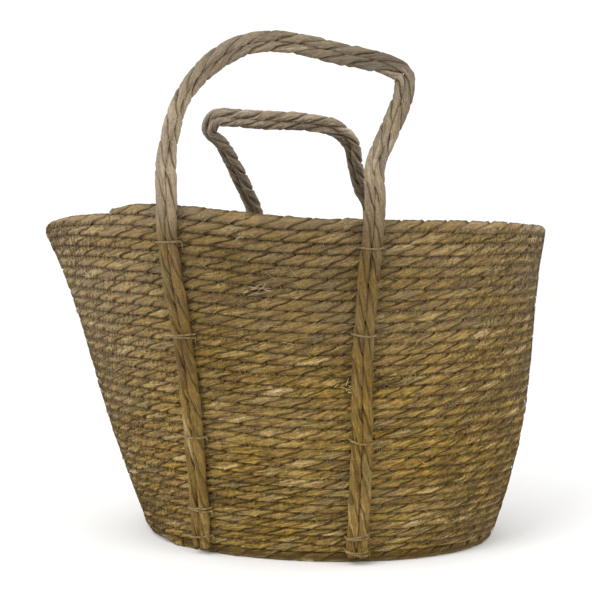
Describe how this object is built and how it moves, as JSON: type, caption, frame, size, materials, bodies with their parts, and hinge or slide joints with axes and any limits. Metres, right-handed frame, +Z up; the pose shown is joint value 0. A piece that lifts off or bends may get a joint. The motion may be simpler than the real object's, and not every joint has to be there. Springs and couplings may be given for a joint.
{
  "type": "storage basket",
  "caption": "Oval storage basket coiled from twisted seagrass cord, with a flaring wall and rope handles that swing above the rim.",
  "frame": {"origin": "centre of the oval base's flat underside", "axes": "+X along the basket's long side, -Y to the front, +Z up from the floor"},
  "size_m": [0.4346, 0.304, 0.4054],
  "materials": {
    "seagrass_coil": "matte",
    "seagrass_rope": "matte",
    "seagrass_twine": "matte"
  },
  "bodies": {
    "basket": {"base_coil": "seagrass_coil", "wall_coil": "seagrass_coil", "rim_coil": "seagrass_coil", "coil_end": "seagrass_coil", "front_left_strap_outer": "seagrass_rope", "front_left_strap_inner": "seagrass_rope", "front_right_strap_outer": "seagrass_rope", "front_right_strap_inner": "seagrass_rope", "back_left_strap_outer": "seagrass_rope", "back_left_strap_inner": "seagrass_rope", "back_right_strap_outer": "seagrass_rope", "back_right_strap_inner": "seagrass_rope", "front_left_tie_1": "seagrass_twine", "front_left_tie_2": "seagrass_twine", "front_left_tie_3": "seagrass_twine", "front_left_tie_4": "seagrass_twine", "front_left_tie_5": "seagrass_twine", "front_right_tie_1": "seagrass_twine", "front_right_tie_2": "seagrass_twine", "front_right_tie_3": "seagrass_twine", "front_right_tie_4": "seagrass_twine", "front_right_tie_5": "seagrass_twine", "back_left_tie_1": "seagrass_twine", "back_left_tie_2": "seagrass_twine", "back_left_tie_3": "seagrass_twine", "back_left_tie_4": "seagrass_twine", "back_left_tie_5": "seagrass_twine", "back_right_tie_1": "seagrass_twine", "back_right_tie_2": "seagrass_twine", "back_right_tie_3": "seagrass_twine", "back_right_tie_4": "seagrass_twine", "back_right_tie_5": "seagrass_twine"},
    "front_handle": {"front_grip_outer": "seagrass_rope", "front_grip_inner": "seagrass_rope"},
    "back_handle": {"back_grip_outer": "seagrass_rope", "back_grip_inner": "seagrass_rope"}
  },
  "joints": [
    {"name": "front_handle_swing", "type": "hinge", "parent": "basket", "child": "front_handle", "pos_m": [-0.029, -0.1465, 0.2815], "axis": [1, 0, 0], "range_deg": [-85, 110]},
    {"name": "back_handle_swing", "type": "hinge", "parent": "basket", "child": "back_handle", "pos_m": [-0.012, 0.1495, 0.2725], "axis": [1, 0, 0], "range_deg": [-150, 45]}
  ]
}
